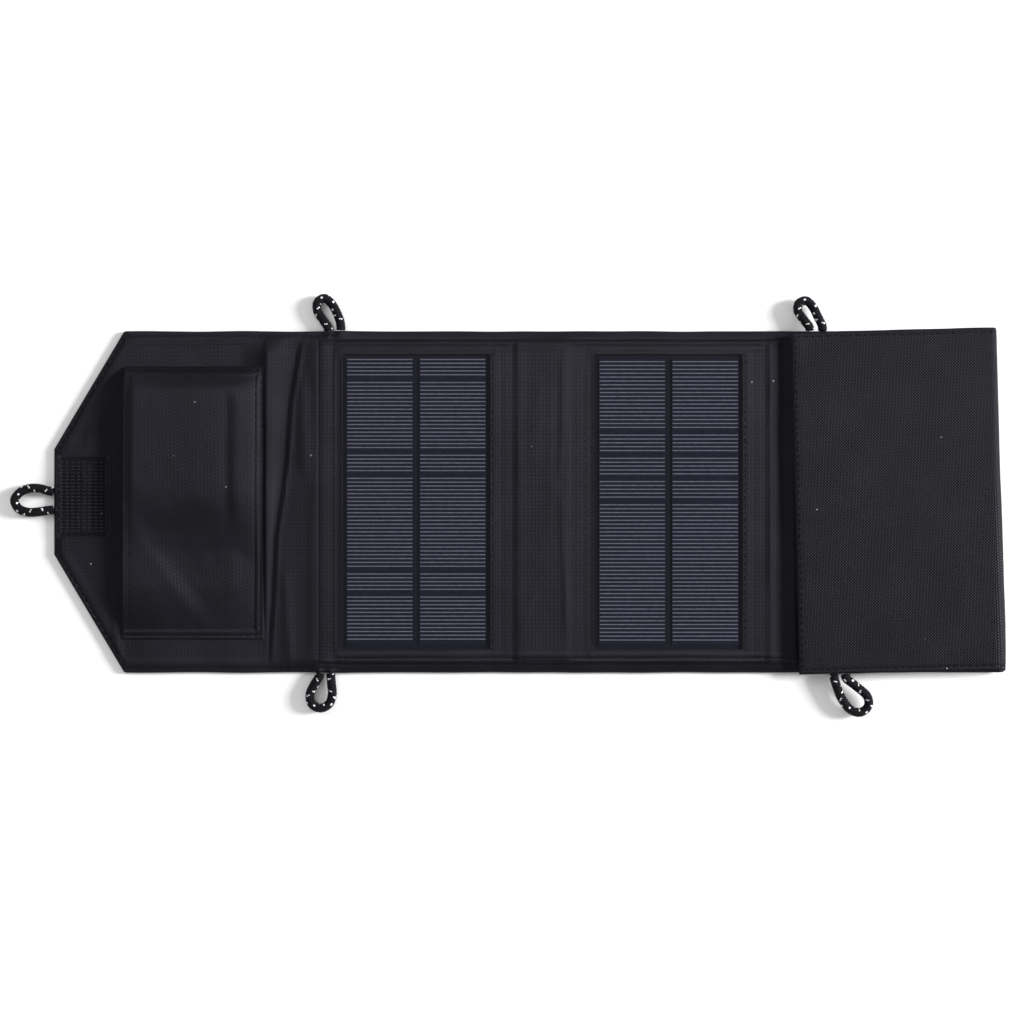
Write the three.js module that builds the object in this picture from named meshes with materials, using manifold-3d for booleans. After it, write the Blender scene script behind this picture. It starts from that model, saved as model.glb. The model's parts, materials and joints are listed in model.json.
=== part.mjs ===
// Folding solar charger: four solar panels in a fabric wallet that rolls up, with a closing flap.
// Millimetres, +Z up. The origin is the middle of the underside of panel 1, the panel next to the flap.
// The flap lies to -X and panels 2 to 4 follow to +X. Panel 4 is folded back over panel 3.
// Every sheet section is drawn flat: back cover at the bottom, cells or lining on top.

import * as THREE from "three";
import { mergeVertices } from "three/addons/utils/BufferGeometryUtils.js";
import Module from "manifold-3d";

const wasm = await Module();
wasm.setup();

// ---------- Driving dimensions ----------

const FABRIC = 0.4; // one layer of coated oxford cloth
const LAYER_GAP = 0.05; // between layers that lie on each other
const FIT_GAP = 0.3; // round pieces that stand in an opening
const CREASE_GAP = 0.1; // between a fold strip and its neighbour
const STACK_GAP = 0.45; // between panels that are folded onto each other

const CLOTH_HEIGHT = 155; // the wallet, across the fold lines
const BOARD = { width: 86, hem: 5.5, thick: 0.8 }; // stiffener in each panel, inside the hems
const MODULE = { sideMargin: 8, endMargin: 3, thick: 0.8 }; // circuit board that carries the cells
const WINDOW = { sideLap: 1.5, endLap: 2 }; // the cloth frame laps this far over the module
const CELLS = { sideMargin: 1.8, endMargin: 2, between: 2.8, thick: 0.35 }; // inside the window

const RIBBON = { width: 6, thick: 0.6, y: 29, bend: 3 }; // flat two-core lead from panel to panel

// Cloth that carries on from each board to the crease beside it.
const MARGIN = {
  spine: 5.2,
  panel1Right: 7.85,
  panel2Left: 7.85,
  panel2Right: 3.4,
  panel3Left: 7,
  panel3Right: 2,
  panel4Left: 2,
  panel4Free: 2,
};
const LAST_CREASE_SKEW = THREE.MathUtils.degToRad(0.7); // the last crease is a little out of square
const LAST_PANEL_SLIP = 1.5; // panel 4 lies this much further up along that crease

const FLAP = { tipHeight: 48, slopeLength: 31.8, length: 94, boardInset: 6, boardThick: 0.6 };
const POCKET = { endMargin: 15.5, headroom: 0.15, slope: 12, setBack: 0.3, fromTape: 6.3, y: -0.5 };
const TAPE = { width: 24.8, height: 37.5, thick: 0.5, fieldRise: 1.1, fieldInset: 3, y: 2.5 };
const TAPE_FROM_TIP = 1;
const LOOP_TAPE_THICK = 0.75;
const LOOP_TAPE_FROM_CREASE = 21.3; // middle of the mating tape, on the back of panel 2

const REGULATOR = { length: 44, width: 38, wall: 0.6, fromPocketEnd: 12 };
const USB = { width: 13.1, height: 5.6, length: 14, wall: 0.3 };
const USB_INSERT = {
  blockLength: 3,
  tongueLength: 9,
  tongueWidth: 11.1,
  tongueThick: 1.9,
  drop: 0.6,
  root: 1,
};
const CIRCUIT = { thick: 1, lift: 1 };
const LENS = { radius: 1, length: 2.4, fromSide: 4, clearance: 0.1 };
const COIL = { radius: 3, height: 2.6, fromSocket: 6, y: -7 };
const CAPACITOR = { radius: 2.5, height: 3, fromEnd: 15, y: 7 };
const CHIP = { length: 5, width: 4, height: 1.2, fromEnd: 8, y: -6 };
const ROUND_SIDES = 20;
const CUT_PAST = 1; // how far a cutting solid runs past the face it opens

const CORD_RADIUS = 2;
const CORD_SIDES = 8;
const CORD_STEPS = 15;

// ---------- Levels and places that follow ----------

const RIBBON_Z = FABRIC + LAYER_GAP;
const LINING_Z = RIBBON_Z + RIBBON.thick + LAYER_GAP;
const SHEET = LINING_Z + FABRIC; // thickness of a section with no board
const MODULE_Z = RIBBON_Z + BOARD.thick + LAYER_GAP;
const CELLS_Z = MODULE_Z + MODULE.thick + LAYER_GAP;
const FRAME_Z = CELLS_Z + CELLS.thick + LAYER_GAP;
const PANEL = FRAME_Z + FABRIC; // thickness of a panel
const POCKET_Z = SHEET + LAYER_GAP;
const CASE_Z = POCKET_Z + LAYER_GAP;
const CASE_HEIGHT = USB.height + 2 * REGULATOR.wall + 2 * LAYER_GAP;
const POCKET_TOP = CASE_Z + CASE_HEIGHT + POCKET.headroom + FABRIC;

// Back to back distances once folded, from the innermost fold outwards.
const RISE_34 = 2 * PANEL + STACK_GAP;
const RISE_23 = RISE_34 + PANEL + STACK_GAP;
const RISE_12 = Math.max(RISE_23 + PANEL, RISE_34 + POCKET_TOP) + STACK_GAP;
const STRIP_34 = RISE_34 - 2 * SHEET;
const STRIP_23 = RISE_23 - 2 * SHEET;
const STRIP_12 = RISE_12 - 2 * SHEET;
const SPINE = RISE_12 + STACK_GAP + POCKET_TOP - 2 * SHEET;

const BOARD_HEIGHT = CLOTH_HEIGHT - 2 * BOARD.hem;
const MODULE_WIDTH = BOARD.width - 2 * MODULE.sideMargin;
const MODULE_HEIGHT = BOARD_HEIGHT - 2 * MODULE.endMargin;
const WINDOW_WIDTH = MODULE_WIDTH - 2 * WINDOW.sideLap;
const WINDOW_HEIGHT = MODULE_HEIGHT - 2 * WINDOW.endLap;
const CELLS_WIDTH = (WINDOW_WIDTH - 2 * CELLS.sideMargin - CELLS.between) / 2;
const CELLS_HEIGHT = WINDOW_HEIGHT - 2 * CELLS.endMargin;

const HALF = CLOTH_HEIGHT / 2;
const HALF_RIBBON = RIBBON.width / 2;
const PANEL_1_LEFT = -(BOARD.width / 2 + MARGIN.spine);
const FLAP_RIGHT = PANEL_1_LEFT - SPINE;

// ---------- Materials ----------

function finish(color, roughness, metalness = 0) {
  return new THREE.MeshStandardMaterial({ color, roughness, metalness });
}

const CLOTH = finish(0x1c1c21, 0.8);
const LINING = finish(0x222228, 0.62);
const STIFFENER = finish(0x3a3a3c, 0.7);
const LAMINATE = finish(0x14151d, 0.4);
const SILICON = finish(0x23263d, 0.3);
const HOOKS = finish(0x101013, 0.9);
const CASE = finish(0x17171a, 0.45);
const METAL = finish(0xc9cacc, 0.3, 1);
const GREEN_BOARD = finish(0x1f5a34, 0.5);
const CLEAR_RED = finish(0xc0322a, 0.2);
const FERRITE = finish(0x2c2c2e, 0.7);
const INSULATION = finish(0x18181a, 0.5);
const CORD = finish(0x17171a, 0.75);

// ---------- Solids ----------

function solidOf(geometry) {
  const bare = geometry.index ? geometry.toNonIndexed() : geometry.clone();
  bare.deleteAttribute("normal");
  bare.deleteAttribute("uv");
  const merged = mergeVertices(bare, 1e-4);
  const vertProperties = merged.attributes.position.array;
  const triVerts = new Uint32Array(merged.index.array);
  return new wasm.Manifold(new wasm.Mesh({ numProp: 3, vertProperties, triVerts }));
}

function geometryOf(solid) {
  const mesh = solid.getMesh();
  const geometry = new THREE.BufferGeometry();
  const points = new Float32Array(mesh.vertProperties);
  geometry.setAttribute("position", new THREE.BufferAttribute(points, 3));
  geometry.setIndex(new THREE.BufferAttribute(new Uint32Array(mesh.triVerts), 1));
  geometry.computeVertexNormals();
  return geometry;
}

function cut(body, ...tools) {
  return geometryOf(tools.reduce((left, tool) => left.subtract(solidOf(tool)), solidOf(body)));
}

function join(...bodies) {
  const [first, ...others] = bodies.map(solidOf);
  return geometryOf(others.reduce((sum, body) => sum.add(body), first));
}

// A box from its low and high corner on each axis.
function block([x0, x1], [y0, y1], [z0, z1]) {
  const box = new THREE.BoxGeometry(x1 - x0, y1 - y0, z1 - z0);
  return box.translate((x0 + x1) / 2, (y0 + y1) / 2, (z0 + z1) / 2);
}

// A flat plate with the given outline, its underside at z.
function plate(outline, z, thick) {
  const shape = new THREE.Shape(outline.map(([x, y]) => new THREE.Vector2(x, y)));
  return new THREE.ExtrudeGeometry(shape, { depth: thick, bevelEnabled: false }).translate(0, 0, z);
}

// A section in Y and Z, carried along X.
function beam(section, x0, x1) {
  const shape = new THREE.Shape(section.map(([y, z]) => new THREE.Vector2(y, z)));
  const solid = new THREE.ExtrudeGeometry(shape, { depth: x1 - x0, bevelEnabled: false });
  solid.applyMatrix4(new THREE.Matrix4().makeBasis(
    new THREE.Vector3(0, 1, 0),
    new THREE.Vector3(0, 0, 1),
    new THREE.Vector3(1, 0, 0),
  ));
  return solid.translate(x0, 0, 0);
}

function post(radius, height, x, y, z) {
  const solid = new THREE.CylinderGeometry(radius, radius, height, ROUND_SIDES);
  return solid.rotateX(Math.PI / 2).translate(x, y, z + height / 2);
}

function around(middle, size) {
  return [middle - size / 2, middle + size / 2];
}

function add(parent, name, geometry, material) {
  const mesh = new THREE.Mesh(geometry, material);
  mesh.name = name;
  parent.add(mesh);
}

// A group that turns up about a crease at x, on the lining's face.
// Its child is drawn flat from the crease on.
function foldAt(parent, x, angle, skew = 0) {
  const crease = new THREE.Group();
  crease.position.set(x, 0, SHEET);
  crease.rotation.z = skew;
  const turned = new THREE.Group();
  turned.rotation.y = -angle;
  const flat = new THREE.Group();
  flat.position.z = -SHEET;
  parent.add(crease.add(turned.add(flat)));
  return flat;
}

// ---------- Panels ----------

// The cloth outline of a panel. A skewed crease leans to -X as it goes up.
function clothOutline(left, right, leftSkew, rightSkew) {
  const leftLean = HALF * Math.tan(leftSkew);
  const rightLean = HALF * Math.tan(rightSkew);
  return [
    [left + leftLean, -HALF],
    [right + rightLean, -HALF],
    [right - rightLean, HALF],
    [left - leftLean, HALF],
  ];
}

// The lead's tail: out of the module, down through the board's notch and on to the crease.
function tail(moduleEdge, boardEdge, crease, side) {
  const y = around(RIBBON.y, RIBBON.width);
  const span = (from, to) => [Math.min(from, to), Math.max(from, to)];
  const turn = boardEdge - side * RIBBON.bend;
  const top = [MODULE_Z, MODULE_Z + RIBBON.thick];
  const low = [RIBBON_Z, RIBBON_Z + RIBBON.thick];
  return [
    block(span(moduleEdge - side, turn), y, top),
    block(span(turn, turn - side * RIBBON.thick), y, [low[0], top[1]]),
    block(span(turn - side * RIBBON.thick, crease - side * (FIT_GAP + CREASE_GAP)), y, low),
  ];
}

function addPanel(parent, number, { left, right, leftSkew = 0, rightSkew = 0, lastPanel = false }) {
  const boardX = [left, left + BOARD.width];
  const middle = left + BOARD.width / 2;
  const width = left + BOARD.width + right;
  const outline = clothOutline(0, width, leftSkew, rightSkew);
  const moduleX = around(middle, MODULE_WIDTH);
  const creaseAt = (x, skew) => x - RIBBON.y * Math.tan(skew);
  const tails = tail(moduleX[0], boardX[0], creaseAt(0, leftSkew), -1);
  if (!lastPanel) tails.push(...tail(moduleX[1], boardX[1], creaseAt(width, rightSkew), 1));

  add(parent, `panel_${number}_back_cover`, plate(outline, 0, FABRIC), CLOTH);

  const notchY = around(RIBBON.y, RIBBON.width + 2 * FIT_GAP);
  const notchDepth = RIBBON.bend + RIBBON.thick + FIT_GAP;
  const notchZ = [0, PANEL];
  const board = cut(
    block(boardX, around(0, BOARD_HEIGHT), [RIBBON_Z, RIBBON_Z + BOARD.thick]),
    block([boardX[0] - CUT_PAST, boardX[0] + notchDepth], notchY, notchZ),
    block([boardX[1] - notchDepth, boardX[1] + CUT_PAST], notchY, notchZ),
  );
  add(parent, `panel_${number}_stiffener`, board, STIFFENER);

  const slab = block(moduleX, around(0, MODULE_HEIGHT), [MODULE_Z, MODULE_Z + MODULE.thick]);
  add(parent, `panel_${number}_solar_module`, join(slab, ...tails), LAMINATE);

  const columnShift = (CELLS_WIDTH + CELLS.between) / 2;
  for (const [side, shift] of [["left", -columnShift], ["right", columnShift]]) {
    const column = block(
      around(middle + shift, CELLS_WIDTH),
      around(0, CELLS_HEIGHT),
      [CELLS_Z, CELLS_Z + CELLS.thick],
    );
    add(parent, `panel_${number}_cells_${side}`, column, SILICON);
  }

  const roomX = [boardX[0] - FIT_GAP, boardX[1] + FIT_GAP];
  const roomY = around(0, BOARD_HEIGHT + 2 * FIT_GAP);
  const shellX = [roomX[0] - FABRIC, roomX[1] + FABRIC];
  const shellY = [roomY[0] - FABRIC, roomY[1] + FABRIC];
  const frame = cut(
    join(plate(outline, LINING_Z, FABRIC), block(shellX, shellY, [LINING_Z, PANEL])),
    block(roomX, roomY, [0, FRAME_Z]),
    block(around(middle, WINDOW_WIDTH), around(0, WINDOW_HEIGHT), [0, PANEL + CUT_PAST]),
  );
  add(parent, `panel_${number}_front_frame`, frame, LINING);
  return width;
}

// ---------- Fold strips ----------

function addStrip(parent, name, x0, x1) {
  const x = [x0 + CREASE_GAP, x1 - CREASE_GAP];
  const y = [-HALF, HALF];
  add(parent, `${name}_cover`, block(x, y, [0, FABRIC]), CLOTH);
  add(parent, `${name}_lining`, block(x, y, [LINING_Z, SHEET]), LINING);
  const lead = block(
    [x[0] + FIT_GAP, x[1] - FIT_GAP],
    around(RIBBON.y, RIBBON.width),
    [RIBBON_Z, RIBBON_Z + RIBBON.thick],
  );
  add(parent, `${name}_lead`, lead, INSULATION);
}

// ---------- Flap ----------

// The flap's outline, drawn in by the given inset from every edge but the crease's.
function flapOutline(inset, creaseInset) {
  const halfTip = FLAP.tipHeight / 2;
  const slope = Math.atan2(HALF - halfTip, FLAP.slopeLength);
  const along = (inset * (1 - Math.cos(slope))) / Math.sin(slope);
  const shoulder = (inset * (1 - Math.sin(slope))) / Math.cos(slope);
  const x = [-FLAP.length + inset, -FLAP.length + FLAP.slopeLength + along, -creaseInset];
  const y = [halfTip - shoulder, HALF - inset];
  return [
    [x[0], -y[0]],
    [x[1], -y[1]],
    [x[2], -y[1]],
    [x[2], y[1]],
    [x[1], y[1]],
    [x[0], y[0]],
  ];
}

function pocketSection(shrink, z0, top) {
  const half = HALF - POCKET.endMargin - shrink;
  const halfTop = half - POCKET.slope;
  return [
    [POCKET.y - half, z0],
    [POCKET.y + half, z0],
    [POCKET.y + halfTop, top],
    [POCKET.y - halfTop, top],
  ];
}

const TAPE_X = [-FLAP.length + TAPE_FROM_TIP, -FLAP.length + TAPE_FROM_TIP + TAPE.width];
const POCKET_X = [TAPE_X[1] + POCKET.fromTape, -POCKET.setBack];
const CASE_X = [
  POCKET_X[1] - REGULATOR.fromPocketEnd - REGULATOR.length,
  POCKET_X[1] - REGULATOR.fromPocketEnd,
];
const LEAD_RISE_X = CASE_X[1] - REGULATOR.wall - 2 * RIBBON.width;

function addFlap(parent) {
  add(parent, "flap_cover", plate(flapOutline(0, CREASE_GAP), 0, FABRIC), CLOTH);

  const slotY = around(RIBBON.y, RIBBON.width + 2 * FIT_GAP);
  const slot = block([LEAD_RISE_X - 2 * FIT_GAP, 0], slotY, [0, SHEET]);
  const stiffener = plate(flapOutline(FLAP.boardInset, 1), RIBBON_Z, FLAP.boardThick);
  add(parent, "flap_stiffener", cut(stiffener, slot), STIFFENER);

  const slit = block(
    [LEAD_RISE_X - FIT_GAP, LEAD_RISE_X + RIBBON.thick + FIT_GAP],
    slotY,
    [0, POCKET_TOP],
  );
  const lining = plate(flapOutline(0, CREASE_GAP), LINING_Z, FABRIC);
  add(parent, "flap_lining", cut(lining, slit), LINING);

  const pocket = cut(
    beam(pocketSection(0, POCKET_Z, POCKET_TOP), ...POCKET_X),
    beam(pocketSection(FABRIC, 0, POCKET_TOP - FABRIC), POCKET_X[0] - CUT_PAST, POCKET_X[1] - FABRIC),
  );
  add(parent, "cable_pocket", pocket, LINING);

  const tapeZ = [SHEET + LAYER_GAP, SHEET + LAYER_GAP + TAPE.thick];
  const field = block(
    [TAPE_X[0] + TAPE.fieldInset, TAPE_X[1] - TAPE.fieldInset],
    around(TAPE.y, TAPE.height - 2 * TAPE.fieldInset),
    [tapeZ[0], tapeZ[1] + TAPE.fieldRise],
  );
  const tape = join(block(TAPE_X, around(TAPE.y, TAPE.height), tapeZ), field);
  add(parent, "hook_tape", tape, HOOKS);

  addRegulator(parent, slit);
}

// ---------- Voltage regulator in the pocket ----------

function addRegulator(parent, leadSlit) {
  const y = around(RIBBON.y, REGULATOR.width);
  const z0 = CASE_Z;
  const height = CASE_HEIGHT;
  const split = z0 + height / 2;
  const wall = REGULATOR.wall;
  const outer = block(CASE_X, y, [z0, z0 + height]);
  const room = block(
    [CASE_X[0] + wall, CASE_X[1] - wall],
    [y[0] + wall, y[1] - wall],
    [z0 + wall, z0 + height - wall],
  );
  const usbZ = z0 + wall + LAYER_GAP;
  const usbX = [CASE_X[0] - LAYER_GAP, CASE_X[0] + USB.length];
  const mouth = block(
    [CASE_X[0] - CUT_PAST, CASE_X[0] + wall + CUT_PAST],
    around(RIBBON.y, USB.width + 2 * FIT_GAP),
    [z0 + wall, z0 + height - wall],
  );
  const pastX = [CASE_X[0] - CUT_PAST, CASE_X[1] + CUT_PAST];
  const pastY = [y[0] - CUT_PAST, y[1] + CUT_PAST];
  const above = block(pastX, pastY, [split, POCKET_TOP]);
  const below = block(pastX, pastY, [0, split + LAYER_GAP]);

  const lensZ = z0 + height / 4 + wall / 2;
  const lensY = y[0] + wall + LENS.fromSide;
  const rod = (radius, length) => {
    const solid = new THREE.CylinderGeometry(radius, radius, length, ROUND_SIDES);
    return solid.rotateZ(Math.PI / 2).translate(CASE_X[0] + length / 2 - wall, lensY, lensZ);
  };
  const lensHole = rod(LENS.radius + LENS.clearance, LENS.length);
  add(parent, "regulator_base", cut(outer, room, mouth, above, leadSlit, lensHole), CASE);
  add(parent, "regulator_lid", cut(outer, room, mouth, below), CASE);
  add(parent, "indicator_lens", rod(LENS.radius, LENS.length), CLEAR_RED);

  const usbY = around(RIBBON.y, USB.width);
  const shell = cut(
    block(usbX, usbY, [usbZ, usbZ + USB.height]),
    block(
      [usbX[0] - CUT_PAST, usbX[1] + CUT_PAST],
      [usbY[0] + USB.wall, usbY[1] - USB.wall],
      [usbZ + USB.wall, usbZ + USB.height - USB.wall],
    ),
  );
  add(parent, "usb_socket_shell", shell, METAL);

  const inner = { width: USB.width - 2 * USB.wall, height: USB.height - 2 * USB.wall };
  const insertZ = usbZ + USB.height / 2;
  const tongueTop = usbZ + USB.height - USB.wall - USB_INSERT.drop;
  const insert = join(
    block(
      [usbX[1] - USB_INSERT.blockLength, usbX[1]],
      around(RIBBON.y, inner.width - 2 * LAYER_GAP),
      around(insertZ, inner.height - 2 * LAYER_GAP),
    ),
    block(
      [usbX[1] - USB_INSERT.blockLength - USB_INSERT.tongueLength, usbX[1] - USB_INSERT.root],
      around(RIBBON.y, USB_INSERT.tongueWidth),
      [tongueTop - USB_INSERT.tongueThick, tongueTop],
    ),
  );
  add(parent, "usb_socket_insert", insert, CASE);

  const boardZ = z0 + wall + CIRCUIT.lift;
  const boardTop = boardZ + CIRCUIT.thick;
  const board = block(
    [usbX[1] + FIT_GAP, CASE_X[1] - wall - FIT_GAP],
    [y[0] + wall + FIT_GAP, y[1] - wall - FIT_GAP],
    [boardZ, boardTop],
  );
  add(parent, "regulator_circuit_board", board, GREEN_BOARD);

  const partZ = boardTop + LAYER_GAP;
  const coilX = CASE_X[0] + USB.length + COIL.fromSocket;
  const coil = post(COIL.radius, COIL.height, coilX, RIBBON.y + COIL.y, partZ);
  add(parent, "inductor", coil, FERRITE);
  const capacitorX = CASE_X[1] - CAPACITOR.fromEnd;
  const can = post(CAPACITOR.radius, CAPACITOR.height, capacitorX, RIBBON.y + CAPACITOR.y, partZ);
  add(parent, "capacitor", can, METAL);
  const chip = block(
    around(CASE_X[1] - CHIP.fromEnd, CHIP.length),
    around(RIBBON.y + CHIP.y, CHIP.width),
    [partZ, partZ + CHIP.height],
  );
  add(parent, "control_chip", chip, CASE);

  const leadY = around(RIBBON.y, RIBBON.width);
  const flat = block(
    [LEAD_RISE_X, -CREASE_GAP - FIT_GAP],
    leadY,
    [RIBBON_Z, RIBBON_Z + RIBBON.thick],
  );
  const riser = block(
    [LEAD_RISE_X, LEAD_RISE_X + RIBBON.thick],
    leadY,
    [RIBBON_Z, boardZ - LAYER_GAP],
  );
  add(parent, "flap_lead", join(flat, riser), INSULATION);
}

// ---------- Cord loops ----------

// The route of each loop's middle line, chosen by hand: out of the hem, round and back in.
const LOOP_ROUTES = {
  tip_loop: [
    [-164.9, 4.6, 2], [-167.4, 5.1, 2], [-171.2, 6.1, 2], [-175.6, 6.1, 2], [-179.9, 4.3, 2],
    [-182.4, 0.7, 2], [-180.6, -3, 2], [-176.2, -4.7, 2], [-171.4, -4.5, 2], [-167.4, -3.9, 2],
    [-164.9, -3.7, 2],
  ],
  spine_loop_top: [
    [-39.9, 77.9, 2], [-40.3, 79.6, 2], [-42.4, 82.6, 2], [-44.8, 86.4, 2], [-44.9, 90.4, 2],
    [-41.9, 92.4, 2], [-38.7, 90.2, 2], [-36.4, 86.4, 2], [-34.8, 82.4, 2], [-34.3, 79.6, 2],
    [-34.3, 77.9, 2],
  ],
  spine_loop_bottom: [
    [-43.9, -77.9, 2], [-44.3, -79.6, 2], [-46.4, -83, 2], [-48.3, -87.4, 2], [-47.4, -91.8, 2],
    [-43.4, -93.6, 2], [-39.6, -91.6, 2], [-38.2, -87.2, 2], [-38.5, -83, 2], [-38.8, -79.6, 2],
    [-38.8, -77.9, 2],
  ],
  end_loop_top: [
    [178.3, 77.7, 4.6], [178, 79.4, 4.4], [175.6, 82.6, 4], [173.1, 86.4, 3.6], [173.5, 90, 3.2],
    [176.9, 91.2, 3], [179.8, 88.4, 3.2], [181.8, 84.4, 3.6], [183.6, 80.6, 4.2],
    [184, 79.2, 4.4], [184, 77.6, 4.6],
  ],
  end_loop_bottom: [
    [189.2, -78.3, 4.6], [189.4, -80, 4.4], [190.7, -84, 4], [193, -89.4, 3.6],
    [196.6, -94, 3.2], [201.3, -95.5, 3], [204.9, -92.6, 3.2], [204.3, -88, 3.6],
    [199.4, -83.6, 4], [195, -80.2, 4.4], [194.5, -78.3, 4.6],
  ],
};

function addLoops(parent) {
  const ring = Array.from({ length: CORD_SIDES }, (_, i) => {
    const angle = (2 * Math.PI * (i + 0.5)) / CORD_SIDES;
    return new THREE.Vector2(CORD_RADIUS * Math.cos(angle), CORD_RADIUS * Math.sin(angle));
  });
  for (const [name, route] of Object.entries(LOOP_ROUTES)) {
    const line = new THREE.CatmullRomCurve3(route.map((point) => new THREE.Vector3(...point)));
    const cord = new THREE.ExtrudeGeometry(new THREE.Shape(ring), {
      steps: CORD_STEPS,
      extrudePath: line,
      bevelEnabled: false,
    });
    add(parent, name, cord, CORD);
  }
}

// ---------- Assembly ----------

const charger = new THREE.Group();

const flap = new THREE.Group();
flap.position.x = FLAP_RIGHT;
addFlap(flap);
charger.add(flap);

addStrip(charger, "spine", FLAP_RIGHT, PANEL_1_LEFT);

const panel1 = new THREE.Group();
panel1.position.x = PANEL_1_LEFT;
charger.add(panel1);
const width1 = addPanel(panel1, 1, { left: MARGIN.spine, right: MARGIN.panel1Right });

const strip12 = foldAt(panel1, width1, 0);
addStrip(strip12, "fold_1_2", 0, STRIP_12);
const panel2 = foldAt(strip12, STRIP_12, 0);
const width2 = addPanel(panel2, 2, { left: MARGIN.panel2Left, right: MARGIN.panel2Right });
const loopTapeX = around(LOOP_TAPE_FROM_CREASE, TAPE.width);
const loopTapeZ = [-LAYER_GAP - LOOP_TAPE_THICK, -LAYER_GAP];
add(panel2, "loop_tape", block(loopTapeX, around(TAPE.y, TAPE.height), loopTapeZ), HOOKS);

const strip23 = foldAt(panel2, width2, 0);
addStrip(strip23, "fold_2_3", 0, STRIP_23);
const panel3 = foldAt(strip23, STRIP_23, 0);
const width3 = addPanel(panel3, 3, {
  left: MARGIN.panel3Left,
  right: MARGIN.panel3Right,
  rightSkew: LAST_CREASE_SKEW,
});

const strip34 = foldAt(panel3, width3, Math.PI / 2, LAST_CREASE_SKEW);
addStrip(strip34, "fold_3_4", 0, STRIP_34);
const panel4 = foldAt(strip34, STRIP_34, Math.PI / 2);
const squared = new THREE.Group();
squared.position.y = LAST_PANEL_SLIP;
squared.rotation.z = -LAST_CREASE_SKEW;
panel4.add(squared);
addPanel(squared, 4, {
  left: MARGIN.panel4Left,
  right: MARGIN.panel4Free,
  leftSkew: LAST_CREASE_SKEW,
  lastPanel: true,
});

addLoops(charger);

export default charger;
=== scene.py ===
# Folding solar charger: the sewn wallet, its pocket, tapes and cord loops, over the frame's solids.
# Lengths are in millimetres until a mesh is made, which is in metres.
# The cloth is drawn as it lies when all panels are open, and laid() folds the last panel back over panel 3.
import json
import math
import random

import bmesh
import bpy
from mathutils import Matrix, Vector, noise


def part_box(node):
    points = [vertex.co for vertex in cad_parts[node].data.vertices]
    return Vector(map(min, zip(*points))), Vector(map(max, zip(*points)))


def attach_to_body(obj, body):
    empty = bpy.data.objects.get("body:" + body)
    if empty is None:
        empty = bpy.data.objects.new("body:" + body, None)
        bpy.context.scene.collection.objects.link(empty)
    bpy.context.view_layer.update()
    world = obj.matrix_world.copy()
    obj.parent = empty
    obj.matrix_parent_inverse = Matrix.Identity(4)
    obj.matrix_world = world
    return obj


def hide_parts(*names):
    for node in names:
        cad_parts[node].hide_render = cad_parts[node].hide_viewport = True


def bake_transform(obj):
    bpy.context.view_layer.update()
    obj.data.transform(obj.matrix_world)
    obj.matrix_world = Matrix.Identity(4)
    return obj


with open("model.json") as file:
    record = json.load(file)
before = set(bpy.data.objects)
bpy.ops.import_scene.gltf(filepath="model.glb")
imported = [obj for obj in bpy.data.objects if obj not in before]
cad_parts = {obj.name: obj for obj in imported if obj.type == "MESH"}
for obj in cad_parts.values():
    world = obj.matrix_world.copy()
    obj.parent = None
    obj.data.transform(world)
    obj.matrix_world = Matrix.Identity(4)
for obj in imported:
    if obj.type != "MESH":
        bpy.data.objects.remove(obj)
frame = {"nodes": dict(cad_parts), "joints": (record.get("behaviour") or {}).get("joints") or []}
scene = bpy.context.scene
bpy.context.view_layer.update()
MM = 0.001
random.seed(7)


def low(node):
    """The lower corner of a CAD node's box, in millimetres."""
    return [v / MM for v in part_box(node)[0]]


def high(node):
    """The upper corner of a CAD node's box, in millimetres."""
    return [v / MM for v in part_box(node)[1]]


def smooth(t):
    """A soft step from 0 to 1 as t goes from 0 to 1."""
    t = min(max(t, 0.0), 1.0)
    return t * t * (3 - 2 * t)


def hill(distance, width):
    """A bell, 1 at no distance, that falls off over about the width."""
    return math.exp(-((distance / width) ** 2))


# --- Camera ---

VIEW_WIDTH = 0.4655
VIEW_HEIGHT = 1.3
VIEW_CENTRE = (0.0434, -0.0046)
SENSOR = 36

camera_data = bpy.data.cameras.new("camera")
camera_data.sensor_width = SENSOR
camera_data.lens = SENSOR * VIEW_HEIGHT / VIEW_WIDTH
camera = bpy.data.objects.new("camera", camera_data)
camera.location = (*VIEW_CENTRE, VIEW_HEIGHT)
scene.collection.objects.link(camera)
scene.camera = camera


# --- Meshes ---

def add_mesh(name, vertices, faces, materials, uvs=None, face_materials=None):
    """A smooth-shaded mesh from points in millimetres. uvs holds a flat position for each."""
    mesh = bpy.data.meshes.new(name)
    mesh.from_pydata([Vector(v) * MM for v in vertices], [], faces)
    for material in materials:
        mesh.materials.append(material)
    if uvs:
        layer = mesh.uv_layers.new(name="flat")
        for loop in mesh.loops:
            layer.data[loop.index].uv = uvs[loop.vertex_index]
    if face_materials:
        mesh.polygons.foreach_set("material_index", face_materials)
    mesh.polygons.foreach_set("use_smooth", [True] * len(mesh.polygons))
    mesh.update()
    piece = bpy.data.objects.new(name, mesh)
    scene.collection.objects.link(piece)
    return piece


def thicken(piece, thickness):
    """Gives a sheet its thickness, on the side away from its normals."""
    solidify = piece.modifiers.new("thickness", "SOLIDIFY")
    solidify.thickness = thickness * MM
    solidify.offset = -1
    solidify.use_rim = True
    graph = bpy.context.evaluated_depsgraph_get()
    thick = bpy.data.meshes.new_from_object(piece.evaluated_get(graph))
    piece.modifiers.clear()
    split_rim(piece.data, thick)
    piece.data = thick


def spot(vertex):
    return tuple(round(c, 7) for c in vertex.co)


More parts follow.
